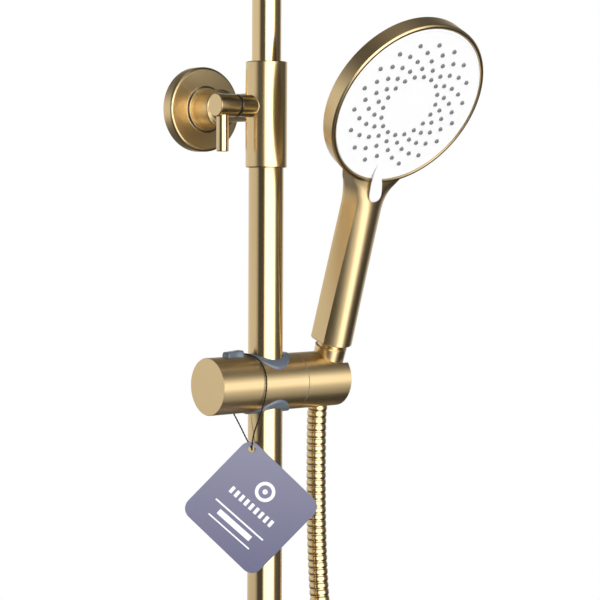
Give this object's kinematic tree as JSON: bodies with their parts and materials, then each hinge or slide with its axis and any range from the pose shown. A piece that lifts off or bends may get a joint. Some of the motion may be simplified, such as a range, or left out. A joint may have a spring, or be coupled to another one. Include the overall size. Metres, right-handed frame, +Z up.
{
  "type": "rainfall shower column",
  "caption": "Wall-mounted shower column: telescopic riser with a rain head, slide rail with a swivelling holder, hand shower, hose and thermostatic bar mixer.",
  "frame": {"origin": "centre of the wall flange's back face, on the wall", "axes": "+Y into the wall, +Z up along the column, +X to the right along the wall as seen from the room"},
  "size_m": [0.28, 0.599, 1.637],
  "materials": {
    "gold_brass": "brushed gold over brass",
    "gold_plated_plastic": "brushed gold plating on plastic",
    "hose_skin": "brushed gold interlocked metal strip on a rubber hose",
    "steel": "plain turned steel",
    "white_plastic": "smooth white plastic",
    "inner_plastic": "plain moulded plastic",
    "grey_plastic": "grey moulded plastic",
    "slate_plastic": "slate-grey moulded plastic with a soft sheen",
    "black_plastic": "black moulded plastic",
    "nozzle_rubber": "soft grey rubber",
    "seal_rubber": "black seal rubber",
    "tag_card": "grey-violet coated card",
    "string": "black waxed string"
  },
  "bodies": {
    "column": {"wall_plate": "steel", "wall_flange": "gold_brass", "bracket_arm": "gold_brass", "arm_grub_screw": "steel", "collar": "gold_brass", "collar_bush": "grey_plastic", "lock_pad": "gold_brass", "lock_o_ring": "seal_rubber", "rail": "gold_brass", "column_nut": "gold_brass", "column_washer": "seal_rubber", "mixer_body": "gold_brass", "temp_cartridge": "inner_plastic", "flow_cartridge": "inner_plastic", "inlet_filters": "steel", "wall_unions": "gold_brass", "inlet_nuts": "gold_brass", "inlet_rosettes": "gold_brass", "outlet_washer": "seal_rubber", "hose_nut": "gold_brass", "hose": "hose_skin"},
    "riser_seal": {"seal_carrier": "inner_plastic", "riser_seals": "seal_rubber"},
    "riser": {"riser_tube": "gold_brass", "swivel_ball": "gold_brass"},
    "rain_gimbal": {"ball_seat": "inner_plastic"},
    "rain_head": {"swivel_nut": "gold_brass", "rain_shell": "gold_plated_plastic", "rain_face": "steel", "rain_nozzles": "nozzle_rubber", "rain_gasket": "seal_rubber"},
    "lock": {"lock_screw": "steel", "lock_knob": "gold_brass", "lock_pin": "gold_brass"},
    "rail_clamp": {"brake_sleeve": "grey_plastic"},
    "slider": {"slider_body": "gold_brass", "slider_liner": "slate_plastic", "button_spring": "steel", "holder_ring": "grey_plastic", "tag_string": "string"},
    "slider_button": {"slider_button": "slate_plastic"},
    "holder": {"holder": "gold_brass", "holder_bolt": "steel"},
    "hose_cone": {"cone_nut": "gold_brass", "cone_washer": "seal_rubber"},
    "handset": {"handset_tail": "gold_brass", "handset_shell": "gold_plated_plastic", "spray_distributor": "grey_plastic"},
    "spray_face": {"spray_face": "white_plastic", "spray_nozzles": "nozzle_rubber", "spray_lever": "white_plastic"},
    "temp_handle": {"temp_spindle": "steel", "temp_handle": "gold_brass"},
    "temp_button": {"temp_stop_button": "black_plastic"},
    "flow_handle": {"flow_spindle": "steel", "flow_handle": "gold_brass"},
    "tag": {"tag_card": "tag_card"}
  },
  "joints": [
    {"name": "column_height", "type": "slide", "parent": "column", "child": "riser_seal", "axis": [0, 0, 1], "range_m": [-0.1, 0.15]},
    {"name": "arm_swivel", "type": "hinge", "parent": "riser_seal", "child": "riser", "pos_m": [0, -0.08, 0], "axis": [0, 0, 1], "range_deg": [-45, 45]},
    {"name": "rain_tilt", "type": "hinge", "parent": "riser", "child": "rain_gimbal", "pos_m": [0, -0.46, 0.32], "axis": [1, 0, 0], "range_deg": [-12, 12]},
    {"name": "rain_side_tilt", "type": "hinge", "parent": "rain_gimbal", "child": "rain_head", "pos_m": [0, -0.46, 0.32], "axis": [0, 1, 0], "range_deg": [-12, 12]},
    {"name": "lock_turn", "type": "hinge", "parent": "column", "child": "lock", "pos_m": [-0.03, -0.08, 0], "axis": [1, 0, 0], "range_deg": [0, 120]},
    {"name": "slider_slide", "type": "slide", "parent": "column", "child": "rail_clamp", "axis": [0, 0, 1], "range_m": [-0.3, 0.12], "deforming": ["hose"]},
    {"name": "slider_swivel", "type": "hinge", "parent": "rail_clamp", "child": "slider", "pos_m": [0, -0.08, -0.189], "axis": [0, 0, 1], "range_deg": [-45, 45]},
    {"name": "button_press", "type": "slide", "parent": "slider", "child": "slider_button", "axis": [0, 0, -1], "range_m": [0, 0.003], "stiffness_N_per_m": 800, "deforming": ["button_spring"]},
    {"name": "holder_tilt", "type": "hinge", "parent": "slider", "child": "holder", "pos_m": [0.03, -0.08, -0.189], "axis": [1, 0, 0], "range_deg": [-5, 30]},
    {"name": "handset_lift", "type": "slide", "parent": "holder", "child": "hose_cone", "axis": [0, -0.3123, 0.95], "range_m": [0, 0.05]},
    {"name": "handset_turn", "type": "hinge", "parent": "hose_cone", "child": "handset", "pos_m": [0.052, -0.08, -0.189], "axis": [0, -0.3123, 0.95], "range_deg": [-30, 30]},
    {"name": "spray_select", "type": "hinge", "parent": "handset", "child": "spray_face", "pos_m": [0.052, -0.16822, -0.00073], "axis": [0, -0.8471, -0.5314], "range_deg": [-20, 20]},
    {"name": "temp_turn", "type": "hinge", "parent": "column", "child": "temp_handle", "pos_m": [-0.11, -0.08, -0.87], "axis": [1, 0, 0], "range_deg": [-150, 150]},
    {"name": "temp_stop_press", "type": "slide", "parent": "temp_handle", "child": "temp_button", "axis": [0, 1, 0], "range_m": [0, 0.002], "stiffness_N_per_m": 500},
    {"name": "flow_turn", "type": "hinge", "parent": "column", "child": "flow_handle", "pos_m": [0.11, -0.08, -0.87], "axis": [1, 0, 0], "range_deg": [-90, 90]},
    {"name": "tag_swing", "type": "hinge", "parent": "slider", "child": "tag", "pos_m": [-0.01522, -0.08512, -0.2331], "axis": [0.7815, -0.6239, 0], "range_deg": [-40, 0], "deforming": ["tag_string"]}
  ]
}
